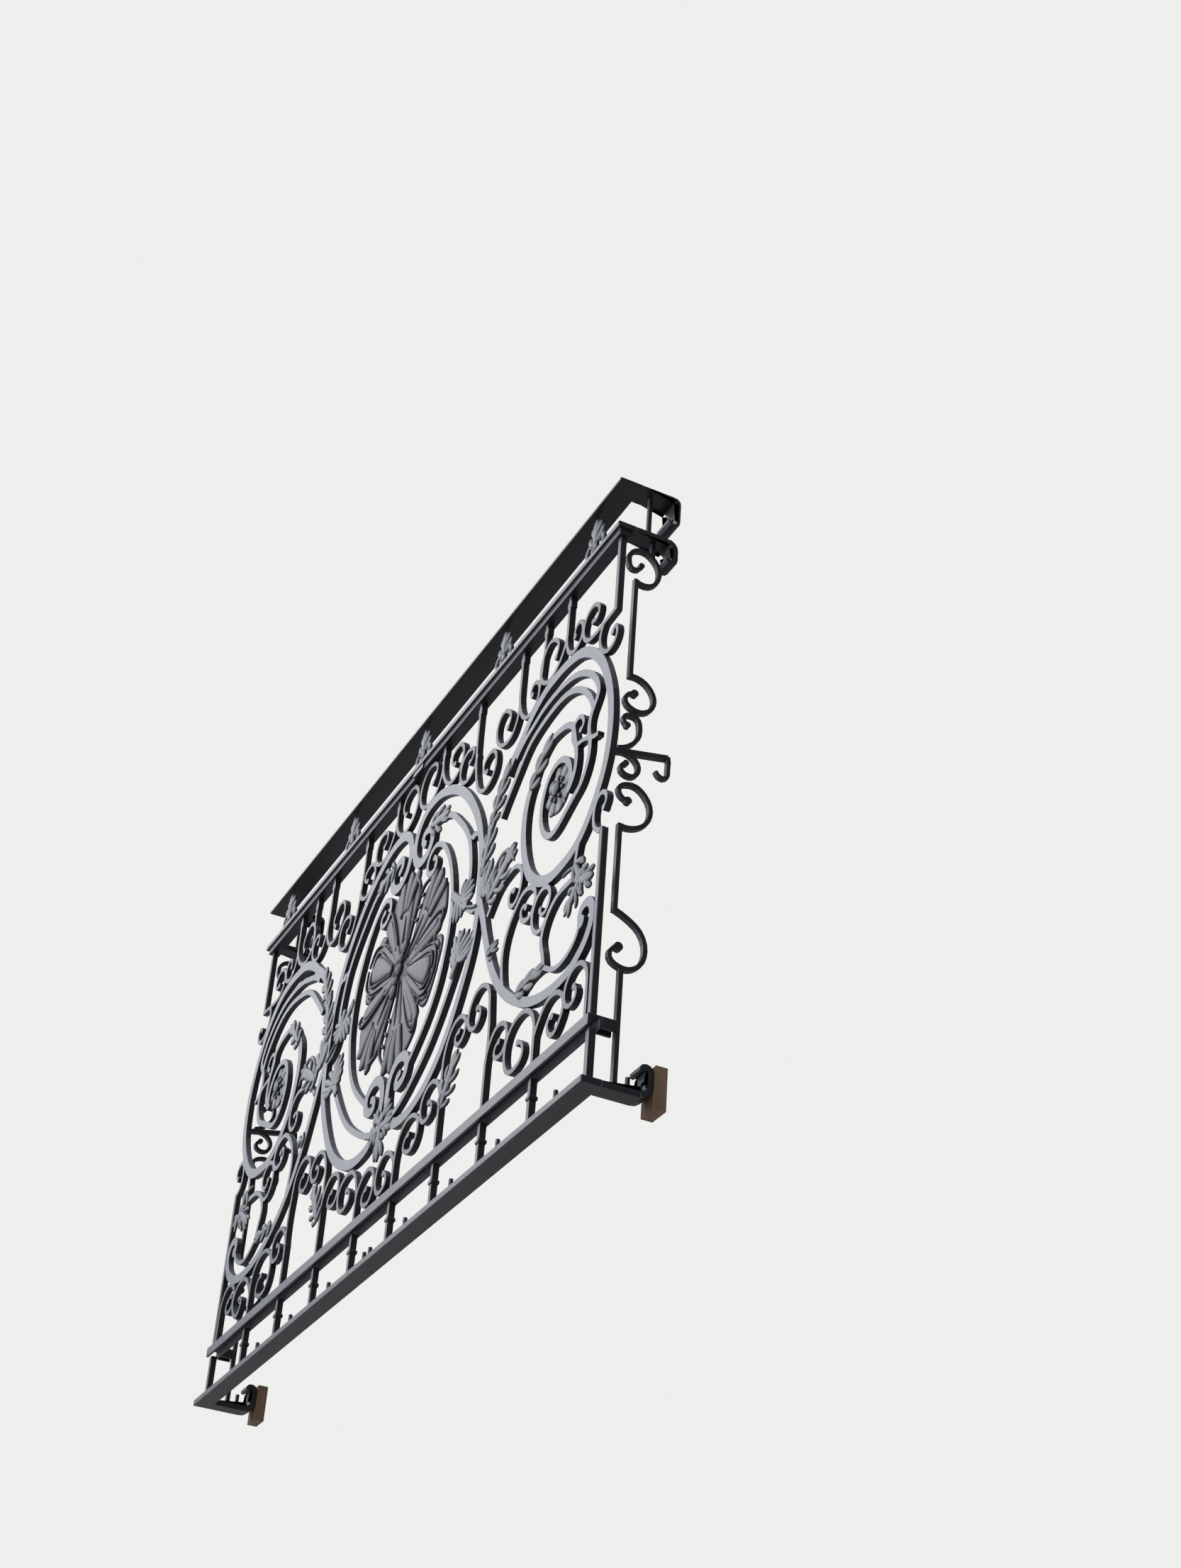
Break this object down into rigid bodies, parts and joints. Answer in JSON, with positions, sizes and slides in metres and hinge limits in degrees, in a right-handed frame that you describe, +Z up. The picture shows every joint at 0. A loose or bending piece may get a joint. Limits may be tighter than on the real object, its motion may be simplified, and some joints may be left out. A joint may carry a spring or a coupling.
{
  "type": "wrought iron window balcony",
  "caption": "Shallow wrought iron window balcony with a scrollwork front, cast rosette, flat handrail and lugs that bolt to a wall.",
  "frame": {"origin": "middle of the back face of the right wooden packer, where the balcony bears on the wall", "axes": "+X along the wall, +Y into the wall, +Z up"},
  "size_m": [1.829, 0.146, 1.228],
  "materials": {
    "black_iron": "satin black paint, lightly dusty",
    "cast_ornament": "satin black paint, greyed on the high parts",
    "packer_wood": "bare weathered packers"
  },
  "bodies": {
    "root": {"bottom_frame_front": "black_iron", "bottom_frame_left": "black_iron", "bottom_frame_right": "black_iron", "packer_left": "packer_wood", "packer_right": "packer_wood", "lower_rail_front": "black_iron", "lower_rail_left": "black_iron", "lower_rail_right": "black_iron", "upper_rail_front": "black_iron", "upper_rail_left": "black_iron", "upper_rail_right": "black_iron", "handrail_front": "black_iron", "handrail_left": "black_iron", "handrail_right": "black_iron", "strut_left": "black_iron", "strut_right": "black_iron", "corner_post_left": "black_iron", "corner_post_right": "black_iron", "kick_bars": "black_iron", "top_scrolls_left": "black_iron", "top_scrolls_right": "black_iron", "base_scrolls_left": "black_iron", "base_scrolls_right": "black_iron", "centre_scrollwork": "black_iron", "rosette": "cast_ornament", "foot_leaf": "cast_ornament", "oval_left": "black_iron", "oval_right": "black_iron", "oval_flower_left": "cast_ornament", "oval_flower_right": "cast_ornament", "lyre_left": "black_iron", "lyre_right": "black_iron", "leaves_left": "cast_ornament", "leaves_right": "cast_ornament", "side_panel_left": "black_iron", "side_panel_right": "black_iron", "floret_far_left": "cast_ornament", "floret_left": "cast_ornament", "floret_centre": "cast_ornament", "floret_right": "cast_ornament", "floret_far_right": "cast_ornament"}
  },
  "joints": []
}
